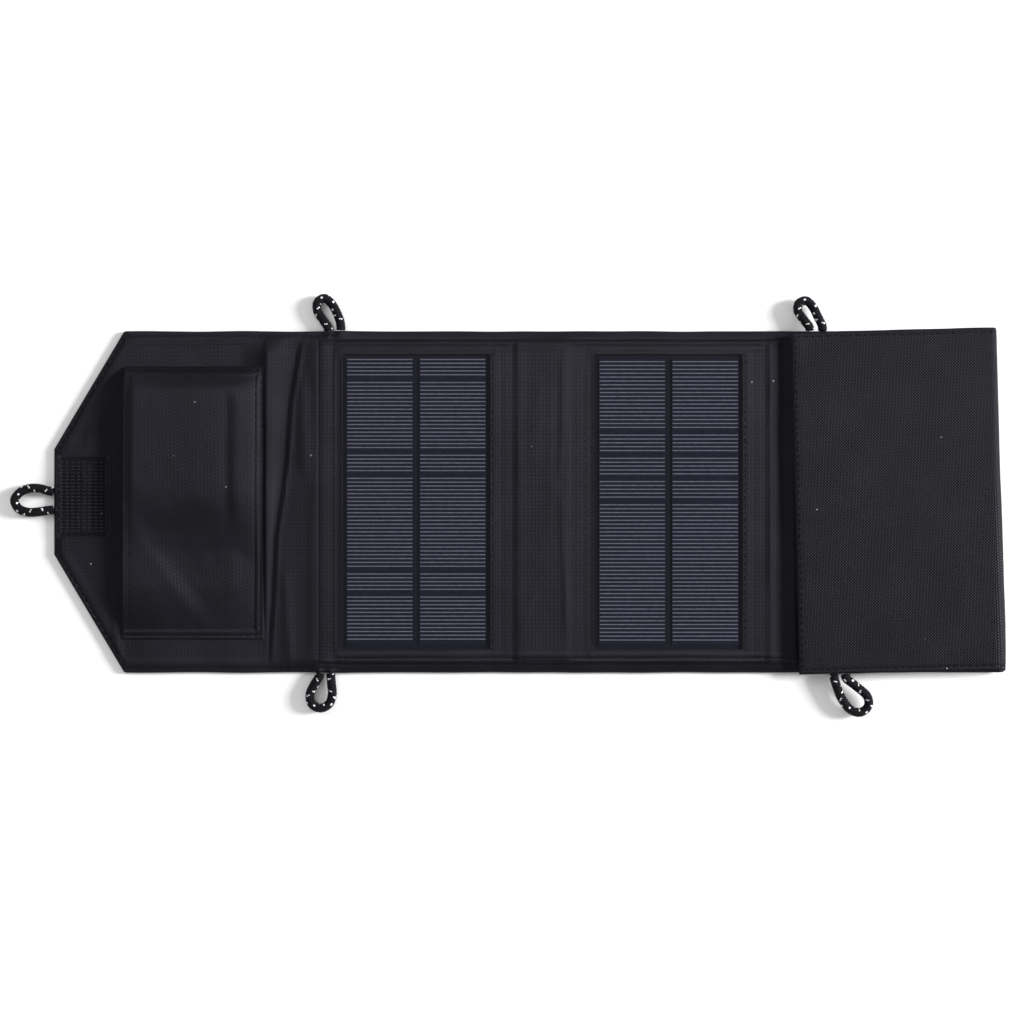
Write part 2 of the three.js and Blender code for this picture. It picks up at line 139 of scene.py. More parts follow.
def split_rim(outer, thick):
    """Parts the rim from both sides, so that neighbouring pieces shade alike where they meet."""
    places = {spot(vertex) for vertex in outer.vertices}
    edit = bmesh.new()
    edit.from_mesh(thick)
    rim = []
    for face in edit.faces:
        on_outer = sum(spot(vertex) in places for vertex in face.verts)
        if 0 < on_outer < len(face.verts):
            rim.append(face)
    bmesh.ops.split(edit, geom=rim)
    edit.to_mesh(thick)
    edit.free()


def stops(values, step):
    """Positions through all the values, about a step apart."""
    out = [values[0]]
    for start, end in zip(values, values[1:]):
        count = max(1, round((end - start) / step))
        out += [start + (end - start) * i / count for i in range(1, count + 1)]
    return out


def grid_faces(columns, rows, outward=1, keep=None):
    """The quads of a grid whose points run up each column in turn. keep picks some of them."""
    faces = []
    for i in range(columns - 1):
        for j in range(rows - 1):
            corner = i * rows + j
            face = (corner, corner + rows, corner + rows + 1, corner + 1)
            if keep is None or keep(i, j):
                faces.append(face if outward > 0 else tuple(reversed(face)))
    return faces


def ring_faces(base, rings, sides):
    """The quads between rings of points, whose numbers start at base."""
    faces = []
    for r in range(rings - 1):
        a, b = base + r * sides, base + (r + 1) * sides
        for k in range(sides):
            n = (k + 1) % sides
            faces.append((a + k, a + n, b + n, b + k))
    return faces


# --- Materials ---

class Nodes:
    def __init__(self, name):
        self.material = bpy.data.materials.new(name)
        self.material.use_nodes = True
        self.tree = self.material.node_tree
        self.shader = self.tree.nodes["Principled BSDF"]

    def put(self, value, socket):
        if isinstance(value, bpy.types.NodeSocket):
            self.tree.links.new(value, socket)
        else:
            socket.default_value = value

    def add(self, kind, inputs=(), **settings):
        """A new node. inputs holds values or sockets, by the input's name or number."""
        node = self.tree.nodes.new(kind)
        for key, value in settings.items():
            setattr(node, key, value)
        for key, value in dict(inputs).items():
            self.put(value, node.inputs[key])
        return node

    def math(self, operation, a, b=0.0, clamp=False):
        return self.add("ShaderNodeMath", {0: a, 1: b}, operation=operation, use_clamp=clamp).outputs[0]

    def mix(self, factor, a, b):
        return self.add("ShaderNodeMix", {0: factor, 6: a, 7: b}, data_type="RGBA").outputs[2]

    def noise(self, vector, scale, detail):
        inputs = {"Vector": vector, "Scale": scale, "Detail": detail}
        return self.add("ShaderNodeTexNoise", inputs).outputs["Fac"]

    def ramp(self, value, start, end):
        inputs = {"Value": value, "From Min": start, "From Max": end}
        return self.add("ShaderNodeMapRange", inputs).outputs["Result"]

    def bump(self, height, distance):
        node = self.add("ShaderNodeBump", {"Height": height, "Distance": distance * MM, "Strength": 1.0})
        self.put(node.outputs["Normal"], self.shader.inputs["Normal"])

    def flat(self):
        return self.add("ShaderNodeUVMap", uv_map="flat").outputs["UV"]

    def place(self):
        return self.add("ShaderNodeTexCoord").outputs["Object"]

    def set(self, **values):
        for key, value in values.items():
            self.put(value, self.shader.inputs[key.replace("_", " ")])


def rgba(r, g, b):
    return (r, g, b, 1.0)


LINT = rgba(0.4, 0.4, 0.44)


def specks(m, where, scale, share, size):
    """A mask of a few small bright dots of lint."""
    cells = m.add("ShaderNodeTexVoronoi", {"Vector": where, "Scale": scale})
    number = m.add("ShaderNodeSeparateColor", {0: cells.outputs["Color"]}).outputs[0]
    chosen = m.math("GREATER_THAN", number, 1 - share)
    near = m.math("LESS_THAN", cells.outputs["Distance"], size)
    return m.math("MULTIPLY", chosen, near)


def woven(name, dark, light, thread, roughness, sheen, diagonal=1.0):
    """Cloth of crossing threads. thread is the width of one in millimetres, diagonal the weave's slant. Its
    colour is lighter on each thread's crown, a painted highlight, over the cloth's own random tone and
    lint.
    """
    m = Nodes(name)
    where = m.flat()
    u, v = m.add("ShaderNodeSeparateXYZ", {0: where}).outputs[:2]
    rate = math.pi / (thread * MM)
    warp = m.math("ABSOLUTE", m.math("SINE", m.math("MULTIPLY", u, rate)))
    weft = m.math("ABSOLUTE", m.math("SINE", m.math("MULTIPLY", v, rate)))
    step = m.math("ADD", m.math("MULTIPLY", u, rate * diagonal), m.math("MULTIPLY", v, rate))
    over = m.math("GREATER_THAN", m.math("SINE", step), 0.0)
    keep = m.math("SUBTRACT", 1.0, over)
    threads = m.math("ADD", m.math("MULTIPLY", warp, over), m.math("MULTIPLY", weft, keep))
    patches = m.noise(where, 38.0, 4.0)
    grain = m.noise(where, 900.0, 2.0)
    # Painted highlight: the colour is lighter where each thread's crown stands highest; grain and patches
    # are the cloth's own random tone.
    shade = m.math("ADD", m.math("MULTIPLY", threads, 0.55), m.math("MULTIPLY", grain, 0.5))
    shade = m.math("MULTIPLY", shade, m.ramp(patches, 0.2, 0.8), clamp=True)
    colour = m.mix(shade, rgba(*dark), rgba(*light))
    colour = m.mix(specks(m, where, scale=210.0, share=0.028, size=0.06), colour, LINT)
    rough = m.math("ADD", roughness, m.math("MULTIPLY", m.noise(where, 60.0, 3.0), 0.14))
    m.set(Base_Color=colour, Roughness=rough, Sheen_Weight=sheen, Sheen_Roughness=0.45)
    m.set(Sheen_Tint=rgba(0.62, 0.62, 0.72), Specular_IOR_Level=0.15)
    m.set(Specular_Tint=rgba(0.86, 0.84, 1.0))
    m.bump(m.math("ADD", threads, m.math("MULTIPLY", grain, 0.4)), 0.14)
    return m.material


def grained(name, dark, light, scale, detail, relief, rough=None, **values):
    """A surface whose colour, relief and, if rough has its limits, roughness follow one noise."""
    m = Nodes(name)
    grain = m.noise(m.place(), scale, detail)
    m.set(Base_Color=m.mix(grain, rgba(*dark), rgba(*light)), **values)
    if rough:
        m.set(Roughness=m.ramp(grain, *rough))
    m.bump(grain, relief)
    return m.material


def silicon_material():
    m = Nodes("silicon_cell")
    where = m.place()
    clouds = m.noise(where, 26.0, 3.0)
    fine = m.noise(where, 700.0, 2.0)
    colour = m.mix(clouds, rgba(0.0032, 0.0035, 0.007), rgba(0.0065, 0.007, 0.0135))
    colour = m.mix(m.math("MULTIPLY", fine, 0.3), colour, rgba(0.018, 0.019, 0.04))
    m.set(Base_Color=colour, Roughness=m.ramp(fine, -1.2, 2.6), Specular_IOR_Level=0.12)
    m.bump(fine, 0.02)
    return m.material


def plastic_material(name, dark, light, roughness, grain=1800.0):
    m = Nodes(name)
    where = m.place()
    spark = m.noise(where, grain, 3.0)
    wear = m.noise(where, 90.0, 4.0)
    colour = m.mix(m.math("MULTIPLY", spark, wear), rgba(*dark), rgba(*light))
    m.set(Base_Color=colour, Roughness=m.math("ADD", roughness, m.math("MULTIPLY", wear, 0.12)))
    m.bump(spark, 0.03)
    return m.material


def metal_material(name, dark, light, roughness, across):
    """Metal with drawn lines. across stretches them, by axis."""
    m = Nodes(name)
    stretch = m.add("ShaderNodeMapping", {"Vector": m.place(), "Scale": across})
    lines = m.noise(stretch.outputs[0], 500.0, 3.0)
    m.set(Base_Color=m.mix(lines, rgba(*dark), rgba(*light)), Metallic=1.0)
    m.set(Roughness=m.math("ADD", roughness, m.math("MULTIPLY", lines, 0.15)))
    m.bump(lines, 0.015)
    return m.material


# Each cloth's dark and light colour, thread width, roughness and sheen.
LINING = woven("lining_cloth", (0.0012, 0.0011, 0.0019), (0.0082, 0.0076, 0.0122), 0.62, 0.36, 0.012)
COVER = woven("outer_cloth", (0.0008, 0.0007, 0.0012), (0.005, 0.0046, 0.0072), 0.66, 0.44, 0.008)
TAPE = woven("tape_ground", (0.0015, 0.0015, 0.002), (0.006, 0.006, 0.0075), 0.45, 0.6, 0.02)
HEM_TAPE = woven("tape_selvedge", (0.006, 0.006, 0.008), (0.022, 0.022, 0.027), 0.4, 0.5, 0.05)
CORD = woven("cord_braid", (0.0008, 0.0008, 0.0011), (0.005, 0.005, 0.0062), 1.0, 0.6, 0.01, diagonal=0.5)
THREAD = grained(
    "sewing_thread", (0.0006, 0.0006, 0.0008), (0.004, 0.004, 0.005), 2600.0, 2.0, 0.06,
    Roughness=0.6, Specular_IOR_Level=0.08,
)
SILICON = silicon_material()
FINGERS = grained(
    "printed_silver", (0.045, 0.046, 0.066), (0.12, 0.12, 0.155), 420.0, 3.0, 0.02,
    rough=(-0.6, 1.6), Metallic=0.1, Specular_IOR_Level=0.2,
)
LAMINATE = grained(
    "board_laminate", (0.0028, 0.003, 0.006), (0.008, 0.0085, 0.0155), 1500.0, 3.0, 0.02,
    rough=(-0.8, 2.2), Specular_IOR_Level=0.15,
)
LENS = grained(
    "indicator_lens", (0.45, 0.03, 0.02), (0.7, 0.09, 0.06), 800.0, 2.0, 0.01,
    rough=(-0.4, 3.0), Transmission_Weight=0.35,
)
CASE = plastic_material("moulded_case", (0.008, 0.008, 0.009), (0.03, 0.03, 0.033), 0.42)
BOARD = plastic_material("stiffener_board", (0.12, 0.12, 0.125), (0.24, 0.24, 0.25), 0.6, 300.0)
HOOKS = plastic_material("hook_nylon", (0.006, 0.006, 0.008), (0.045, 0.045, 0.055), 0.38)
LOOPS = plastic_material("loop_nylon", (0.006, 0.006, 0.008), (0.035, 0.035, 0.04), 0.6)
FLECK = plastic_material("tracer_thread", (0.55, 0.55, 0.58), (0.9, 0.9, 0.92), 0.4)
GREEN = plastic_material("solder_mask", (0.01, 0.07, 0.03), (0.03, 0.2, 0.08), 0.3, 500.0)
FERRITE = plastic_material("ferrite", (0.02, 0.02, 0.021), (0.06, 0.06, 0.062), 0.6)
INSULATION = plastic_material("lead_insulation", (0.008, 0.008, 0.009), (0.026, 0.026, 0.028), 0.4, 700.0)
PLATING = metal_material("socket_plating", (0.45, 0.45, 0.47), (0.72, 0.72, 0.74), 0.22, (1, 12, 12))
CAN = metal_material("capacitor_can", (0.5, 0.5, 0.52), (0.78, 0.78, 0.8), 0.3, (12, 12, 1))

NODE_MATERIALS = {
    "stiffener": BOARD,
    "solar_module": LAMINATE,
    "cells_": SILICON,
    "regulator_base": CASE,
    "regulator_lid": CASE,
    "usb_socket_insert": CASE,
    "control_chip": CASE,
    "usb_socket_shell": PLATING,
    "regulator_circuit_board": GREEN,
    "indicator_lens": LENS,
    "inductor": FERRITE,
    "capacitor": CAN,
    "_lead": INSULATION,
}


def paint_cad_nodes():
    for name, node in frame["nodes"].items():
        for part, material in NODE_MATERIALS.items():
            if part in name:
                node.data.materials.clear()
                node.data.materials.append(material)


# --- Cord loops ---

CORD_RADIUS = 2.0
CORD_SIDES = 16
CORD_STEP = 0.45

# The routes of part.mjs, with each end carried on into the hem that holds it.
LOOP_ROUTES = {
    "tip_loop": ("flap", [
        (-164.9, 4.6, 2), (-167.4, 5.1, 2), (-171.2, 6.1, 2), (-175.6, 6.1, 2), (-179.9, 4.3, 2),
        (-182.4, 0.7, 2), (-180.6, -3, 2), (-176.2, -4.7, 2), (-171.4, -4.5, 2), (-167.4, -3.9, 2),
        (-164.9, -3.7, 2),
    ]),
    "spine_loop_top": ("panel_1", [
        (-39.9, 77.9, 2), (-40.3, 79.6, 2), (-42.4, 82.6, 2), (-44.8, 86.4, 2), (-44.9, 90.4, 2),
        (-41.9, 92.4, 2), (-38.7, 90.2, 2), (-36.4, 86.4, 2), (-34.8, 82.4, 2), (-34.3, 79.6, 2),
        (-34.3, 77.9, 2),
    ]),
    "spine_loop_bottom": ("panel_1", [
        (-43.9, -77.9, 2), (-44.3, -79.6, 2), (-46.4, -83, 2), (-48.3, -87.4, 2), (-47.4, -91.8, 2),
        (-43.4, -93.6, 2), (-39.6, -91.6, 2), (-38.2, -87.2, 2), (-38.5, -83, 2), (-38.8, -79.6, 2),
        (-38.8, -77.9, 2),
    ]),
    "end_loop_top": ("panel_4", [
        (178.3, 77.7, 4.6), (178, 79.4, 4.4), (175.6, 82.6, 4), (173.1, 86.4, 3.6), (173.5, 90, 3.2),
        (176.9, 91.2, 3), (179.8, 88.4, 3.2), (181.8, 84.4, 3.6), (183.6, 80.6, 4.2), (184, 79.2, 4.4),
        (184, 77.6, 4.6),
    ]),
    "end_loop_bottom": ("panel_4", [
        (189.2, -78.3, 4.6), (189.4, -80, 4.4), (190.7, -84, 4), (193, -89.4, 3.6), (196.6, -94, 3.2),
        (201.3, -95.5, 3), (204.9, -92.6, 3.2), (204.3, -88, 3.6), (199.4, -83.6, 4), (195, -80.2, 4.4),
        (194.5, -78.3, 4.6),
    ]),
}


def through(points, step):
    """A smooth line through the points, with a point about every step."""
    ends = [points[0] * 2 - points[1], *points, points[-1] * 2 - points[-2]]
    line = []
    for a, b, c, d in zip(ends, ends[1:], ends[2:], ends[3:]):
        count = max(2, round((c - b).length / step))
        for i in range(count):
            t = i / count
            line.append(0.5 * (
                2 * b + (c - a) * t + (2 * a - 5 * b + 4 * c - d) * t * t + (3 * b - a - 3 * c + d) * t ** 3
            ))
    return line + [points[-1]]


def braid_relief(i, j):
    return 1 + 0.045 * math.sin(i * 0.9 + j * math.pi / 2) * math.sin(i * 0.9 - j * math.pi / 2)


def tracer(i, j):
    """Pale tracer threads wind round the cord and show as short dashes."""
    turn = (i * 0.55) % CORD_SIDES
    on_thread = min(abs(j - turn), CORD_SIDES - abs(j - turn)) < 0.6
    on_other = min(abs(j + turn - CORD_SIDES), abs(j + turn)) < 0.6
    return 1 if (on_thread or on_other) and i % 6 < 2 else 0


def cord_mesh(name, points):
    """A round braided cord along the points, with closed ends."""
    vertices, uvs = [], []
    for i, point in enumerate(points):
        ahead = points[min(i + 1, len(points) - 1)] - points[max(i - 1, 0)]
        across = ahead.cross(Vector((0, 0, 1))).normalized()
        up = across.cross(ahead).normalized()
        for j in range(CORD_SIDES):
            angle = 2 * math.pi * j / CORD_SIDES
            r = CORD_RADIUS * braid_relief(i, j)
            vertices.append(point + across * (r * math.cos(angle)) + up * (r * math.sin(angle)))
            uvs.append((i * MM, j * MM))
    faces = ring_faces(0, len(points), CORD_SIDES)
    slots = [tracer(i, j) for i in range(len(points) - 1) for j in range(CORD_SIDES)]
    faces.append(tuple(reversed(range(CORD_SIDES))))
    faces.append(tuple(range((len(points) - 1) * CORD_SIDES, len(points) * CORD_SIDES)))
    return add_mesh(name, vertices, faces, [CORD, FLECK], uvs, slots + [0, 0])


def add_cord_loops():
    for name, (body, route) in LOOP_ROUTES.items():
        path = through([Vector(p) for p in route], CORD_STEP)
        piece = cord_mesh(f"{name}_cord", path)
        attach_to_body(piece, body)
        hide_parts(name)


add_cord_loops()


# --- The cloth's outline and levels ---

FABRIC = high("spine_cover")[2]
SHEET = high("spine_lining")[2]
PANEL_TOP = high("panel_1_front_frame")[2]
HALF = high("spine_cover")[1]
FLAP_TIP = low("flap_cover")[0]
TIP_HALF = 24.0
SHOULDER = -132.75
LEAN = math.hypot(SHOULDER - FLAP_TIP, HALF - TIP_HALF)

JOINTS = {joint["name"]: joint for joint in frame["joints"]}


def crease_x(joint):
    return JOINTS[joint]["pos_m"][0] / MM


SKEW = math.asin(JOINTS["fold_3_4_near"]["axis"][0])
LAST_CREASE = crease_x("fold_3_4_near")
LAST_STRIP = JOINTS["fold_3_4_far"]["pos_m"][2] / MM - SHEET
LAST_SLIP = 1.5
BEND_RADIUS = LAST_STRIP / 2
BEND_LEAD = (math.pi * BEND_RADIUS - LAST_STRIP) / 2

BOARD_WIDTH = high("panel_1_stiffener")[0] - low("panel_1_stiffener")[0]
BOARD_HALF = high("panel_1_stiffener")[1]
CELL_SPAN = high("panel_1_cells_right")[0] - low("panel_1_cells_left")[0]
CELL_HALF = high("panel_1_cells_left")[1]
WINDOW_SIDE = 1.8
WINDOW_END = 2.0
WINDOW_HALF_X = CELL_SPAN / 2 + WINDOW_SIDE
WINDOW_HALF_Y = CELL_HALF + WINDOW_END
PANEL_4_LEFT = LAST_CREASE + LAST_STRIP
PANEL_4_MARGIN = 2.0
FREE_END_SPARE = 1.2
FREE_END = PANEL_4_LEFT + BOARD_WIDTH + 2 * PANEL_4_MARGIN + FREE_END_SPARE

MIDDLES = [(low(f"panel_{n}_stiffener")[0] + high(f"panel_{n}_stiffener")[0]) / 2 for n in (1, 2, 3)]
MIDDLES.append(PANEL_4_LEFT + PANEL_4_MARGIN + BOARD_WIDTH / 2)


def half_height(x):
    """Half the cloth's height at x, with the flap's slopes and a slight waver along the hems."""
    waver = 0.3 * noise.noise((x * 0.045, 3.1, 0))
    if x >= SHOULDER:
        return HALF + waver
    return TIP_HALF + (HALF - TIP_HALF) * (x - FLAP_TIP) / (SHOULDER - FLAP_TIP) + waver


def edge_distance(x, y):
    """How far inside the cloth's edge a point is."""
    across = half_height(x) - abs(y)
    if x < SHOULDER:
        across *= (SHOULDER - FLAP_TIP) / LEAN
    return max(0.0, min(across, x - FLAP_TIP, FREE_END - x))


def laid(x, y, z):
    """Where a point of the open cloth lies at rest."""
    c, s = math.cos(SKEW), math.sin(SKEW)
    beyond = c * (x - LAST_CREASE) + s * y
    if beyond <= -BEND_LEAD:
        return Vector((x, y, z))
    along = -s * (x - LAST_CREASE) + c * y + LAST_SLIP * smooth(beyond / LAST_STRIP)
    turned = beyond + BEND_LEAD
    if turned < math.pi * BEND_RADIUS:
        angle = turned / BEND_RADIUS
        reach = BEND_RADIUS + SHEET - z
        bulge = 0.75 + 0.75 * smooth(0.5 - along / (2 * HALF))
        out = -BEND_LEAD + reach * math.sin(angle) * bulge
        up = SHEET + BEND_RADIUS - reach * math.cos(angle)
    else:
        out = LAST_STRIP - beyond
        up = 2 * SHEET + LAST_STRIP - z
    return Vector((LAST_CREASE + c * out - s * along, s * out + c * along, up))


# --- The cloth's relief ---

BORDER = 9.0
BORDER_SEAMS = (3.9, 6.7)
HEM_SEAM = 2.1
SEAM_LEFT = 4.0
SEAM_RIGHT = 1.3
LEFT_SEAM = MIDDLES[0] - WINDOW_HALF_X - 2.6
SLACK_LEVEL = 1.35
SLACK_CREST = 0.35
SPINE_VALLEY_DEPTH = 0.15

# Crests and valleys in the slack cloth: start, end, width and height.
FOLDS = [
    ((-45.0, 80), (-45.4, -80), 1.0, 0.40),
    ((-47.4, 10), (-47.6, -80), 1.2, 0.15),
    ((-41.2, 30), (-42.0, -80), 1.1, 0.30),
    ((-52.0, 60), (-50.5, 10), 2.6, 0.35),
    ((-60.0, -30), (-56.5, -80), 2.2, 0.35),
    ((66.6, 70), (65.4, 8), 1.2, 0.35),
    ((65.4, 8), (68.6, -66), 1.3, 0.32),
    ((61.5, 66), (60.6, -20), 2.0, 0.15),
    ((53.9, -43), (47.6, -57), 1.2, 0.30),
    ((55.5, 60), (53.0, 10), 3.4, 0.2),
    ((160.9, 74), (161.4, -74), 1.0, 0.2),
    ((-138.0, -44), (-134.5, -74), 1.6, 0.35),
    ((-150.0, 28), (-137.0, 52), 2.2, 0.25),
]
# The valley of the long fold across the spine, from top to bottom.
SPINE_VALLEY = (
    (80, -52.0), (73.6, -53.0), (46.4, -57.8), (14.5, -60.0), (-17.3, -64.4), (-44.5, -65.6), (-80, -68.0)
)
SPINE_RISE = 0.5
SPINE_HIGHEST = 3.3
VALLEY_FLOOR = -0.5
HEM_STEP = 1.5
HEM_REACH = 12
SPINE_FOLD_END = -44
POCKET_RIGHT = JOINTS["flap_fold"]["pos_m"][0] / MM + 2.0


def fold_relief(x, y):
    total = 0.0
    for (x0, y0), (x1, y1), width, height in FOLDS:
        if not min(x0, x1) - 6 < x < max(x0, x1) + 6:
            continue
        t = (y - y0) / (y1 - y0)
        middle = x0 + (x1 - x0) * t + 0.5 * noise.noise((y * 0.04, x0, 1.7))
        ends = smooth(t * 6) * smooth((1 - t) * 6)
        total += height * ends * hill(x - middle, width)
    return total


def along_line(points, y):
    """The x at the height y of a line of (y, x) points, which run down."""
    for (y0, x0), (y1, x1) in zip(points, points[1:]):
        if y >= y1:
            break
    return x0 + (x1 - x0) * min(max((y - y0) / (y1 - y0), 0.0), 1.0)


def spine_top(y):
    """The crest of the spine's fold above the flat lining."""
    return VALLEY_FLOOR + min(SPINE_HIGHEST, SPINE_RISE * (along_line(SPINE_VALLEY, y) - POCKET_RIGHT))


def hem_lift(x, y):
    """How far the flap's lining rises towards the spine's crest."""
    if x > POCKET_RIGHT:
        return 0.0
    rise = max(spine_top(y) - HEM_STEP, 0.0)
    return rise * smooth((x - POCKET_RIGHT + HEM_REACH) / HEM_REACH) * off_hems(y)


def off_hems(y):
    """1 over most of the cloth's height, and 0 at its hems, which hold it flat."""
    return smooth((HALF - 2 - abs(y)) / 9)


def spine_crest(x, y):
    """The slanting fold across the spine: a crest beside the pocket, then a slope to a valley."""
    if not POCKET_RIGHT - 1 < x < SPINE_FOLD_END:
        return hem_lift(x, y)
    valley = along_line(SPINE_VALLEY, y) + 0.4 * noise.noise((y * 0.05, 9.0, 0))
    if x > valley:
        return off_hems(y) * (VALLEY_FLOOR * hill(x - valley, 0.8) + 0.3 * hill(x - valley - 1.9, 0.9))
    start = POCKET_RIGHT - 0.5
    up_slope = smooth((valley - x) / max(valley - start - 0.8, 0.8))
    slope = VALLEY_FLOOR + (spine_top(y) - VALLEY_FLOOR) * up_slope
    edge = smooth((x - start) / 0.9)
    return off_hems(y) * (slope * edge + max(spine_top(y) - HEM_STEP, 0.0) * (1 - edge))


def board_depth(x, y):
    """How far inside the nearest board a point is, negative outside it."""
    return max(
        min(BOARD_WIDTH / 2 + 0.7 - abs(x - middle), BOARD_HALF + 0.7 - abs(y))
        for middle in MIDDLES
    )


def seam_relief(x, y):
    """The grooves of the stitch lines in the lining, and the step inside the border."""
    total = 0.0
    inset = edge_distance(x, y)
    puckers = 0.06 * math.sin((x + y) * 1.9)
    if x > LEFT_SEAM:
        for line in BORDER_SEAMS:
            total -= (0.22 + puckers) * hill(inset - line, 0.55)
        total += 0.12 * (1 - smooth((inset - BORDER + 0.5) / 0.9))
    else:
        total -= (0.22 + puckers) * hill(inset - HEM_SEAM, 0.6)
        total += 0.12 * (1 - smooth((inset - 5.5) / 1.2))
    for middle in MIDDLES:
        left = middle - WINDOW_HALF_X
        right = middle + WINDOW_HALF_X
        if left - 8 < x < right + 8:
            total -= (0.14 + puckers) * hill(x - (left - SEAM_LEFT), 0.5)
            total -= (0.14 + puckers) * hill(x - (right + SEAM_RIGHT), 0.5)
            total -= 0.5 * hill(x - (left - 1.9), 0.45) if abs(y) < WINDOW_HALF_Y else 0
    return total


def cord_relief(x, y):
    """The lining is pushed up where a cord's ends are sewn into the hem."""
    total = 0.0
    for name in ("spine_loop_top", "spine_loop_bottom"):
        for end in (0, -1):
            at = LOOP_ROUTES[name][1][end]
            total = max(total, hill(x - at[0], 2.2) * hill(y - at[1], 2.6))
    for end in (0, -1):
        at = LOOP_ROUTES["tip_loop"][1][end]
        total = max(total, hill(x - at[0], 2.6) * hill(y - at[1], 2.2))
    return 1.5 * total


def slack_lift(x, y, away):
    """The slack lining: a crest in fold 1-2, a fall in fold 2-3, a rise from the spine's valley."""
    full = PANEL_TOP - SHEET + SLACK_CREST * smooth(away / 2.5)
    if x > MIDDLES[1]:
        return full * (1 - smooth((away - 1) / 8))
    if x > MIDDLES[0]:
        return full
    past_fold = x - along_line(SPINE_VALLEY, y)
    if past_fold <= 0:
        return 0.0
    dip = SPINE_VALLEY_DEPTH * smooth(away / 0.5) * (1 - smooth((away - 0.5) / 4))
    return SLACK_LEVEL * past_fold / (past_fold + away) - dip


def lining_height(x, y):
    """The lining's outer face above the flat back cover."""
    inset = edge_distance(x, y)
    depth = board_depth(x, y)
    slack = smooth(-depth / 3)
    lift = (PANEL_TOP - SHEET) * smooth((depth + 2.2) / 2.2)
    if depth < 0 and x > POCKET_RIGHT - 1:
        lift = slack_lift(x, y, -depth) * smooth((inset - 1) / 6)
    beside_module = min(abs(x - middle) for middle in MIDDLES) - WINDOW_HALF_X - 4.8
    lift -= 0.15 * hill(beside_module, 1.6) * smooth(depth / 2)
    ripple = 0.5 + 0.5 * noise.noise((x * 0.07, y * 0.035, 5.0))
    fine = 0.5 + 0.5 * noise.noise((x * 0.22, y * 0.16, 8.0))
    waves = (0.12 + 0.5 * slack) * ripple + 0.07 * fine
    rounded = 0.75 * (1 - math.sqrt(1 - (1 - min(inset / 1.3, 1)) ** 2))
    height = SHEET + lift + waves * smooth(inset / 4) + fold_relief(x, y) * slack
    height += spine_crest(x, y) + seam_relief(x, y) + cord_relief(x, y)
    return max(height - rounded, FABRIC + 0.3)


def cover_depth(x, y):
    """How far the back cover's outer face is below the flat level."""
    inset = edge_distance(x, y)
    sag = 0.22 * noise.noise((x * 0.03, y * 0.03, 21.0))
    fine = 0.07 * noise.noise((x * 0.16, y * 0.16, 31.0))
    rounded = 0.5 * (1 - math.sqrt(1 - (1 - min(inset / 1.2, 1)) ** 2))
    groove = 0.16 * hill(inset - HEM_SEAM, 0.6)
    return min(0.05 + sag + fine, 0.12) - rounded - groove


# --- Cloth in pieces, split at the creases ---

BEND_HALF = 3.2
NARROW = 10.5
AREA_STEPS = 200


def segments():
    """Each stretch of cloth: its name, ends, the bodies it follows, and its crease."""
    creases = [
        ("spine", crease_x("flap_fold"), crease_x("spine_fold"), "panel_1"),
        ("fold_1_2", crease_x("fold_1_2_near"), crease_x("fold_1_2_far"), "panel_2"),
        ("fold_2_3", crease_x("fold_2_3_near"), crease_x("fold_2_3_far"), "panel_3"),
        ("fold_3_4", LAST_CREASE, PANEL_4_LEFT, "panel_4"),
    ]
    out = []
    start, body = FLAP_TIP, "flap"
    for name, near, far, after in creases:
        reach = min(BEND_HALF, (far - near) / 2 * 0.92)
        margin = max(reach, BEND_LEAD + 0.1) + 0.6
        middle = (near + far) / 2
        out.append((body, start, near - margin, (body,), None))
        out.append((f"{name}_near", near - margin, middle, (body, name), (near, reach)))
        out.append((f"{name}_far", middle, far + margin, (name, after), (far, reach)))
        start, body = far + margin, after
    out.append((body, start, FREE_END, (body,), None))
    return out


def attach(piece, bodies, crease):
    """Rides a piece on its one body. A piece across a crease only has its placement baked into its mesh,
    and follows no body.
    """
    if crease is None:
        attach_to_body(piece, bodies[0])
        return
    x, reach = crease
    if x < LAST_CREASE - BEND_LEAD:
        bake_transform(piece)
        return
    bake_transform(piece)


def y_lines(step):
    """Row positions over the full height, close together in the hems."""
    marks = [0, WINDOW_HALF_Y, HALF - BORDER - 0.6, HALF - BORDER + 0.8, HALF]
    upper = stops(marks[:3], step)[:-1] + stops(marks[2:], 0.55)
    return [-y for y in reversed(upper[1:])] + upper


def x_lines(start, end, step):
    marks = {start, end}
    for middle in MIDDLES:
        for side in (-1, 1):
            window = middle + side * WINDOW_HALF_X
            marks |= {window, window + side * 1.2, window + side * SEAM_LEFT, window + side * 7.5}
            marks.add(middle + side * (BOARD_WIDTH / 2 + 1))
    marks = sorted(m for m in marks if start <= m <= end)
    lines = []
    for a, b in zip(marks, marks[1:]):
        inside_window = any(abs((a + b) / 2 - m) < WINDOW_HALF_X for m in MIDDLES)
        lines += stops([a, b], 2.4 if inside_window and b - a > 20 else step)[:-1]
    return lines + [end]


def cloth(name, start, end, height, outward, material, windows):
    """A sheet between two positions. outward is 1 for the lining and -1 for the back cover."""
    xs = x_lines(start, end, 0.9)
    ys = y_lines(2.2)
    vertices, uvs = [], []
    for x in xs:
        scale = half_height(x) / HALF
        for y in ys:
            flat_y = y * scale
            vertices.append(laid(x, flat_y, height(x, flat_y)))
            uvs.append((x * MM, flat_y * MM))

    def solid(i, j):
        middle_x = (xs[i] + xs[i + 1]) / 2
        middle_y = (ys[j] + ys[j + 1]) / 2
        in_window = any(abs(middle_x - m) < WINDOW_HALF_X for m in MIDDLES)
        return not (windows and in_window and abs(middle_y) < WINDOW_HALF_Y)

    faces = grid_faces(len(xs), len(ys), outward, solid)
    piece = add_mesh(name, vertices, faces, [material], uvs)
    thicken(piece, FABRIC)
    return piece


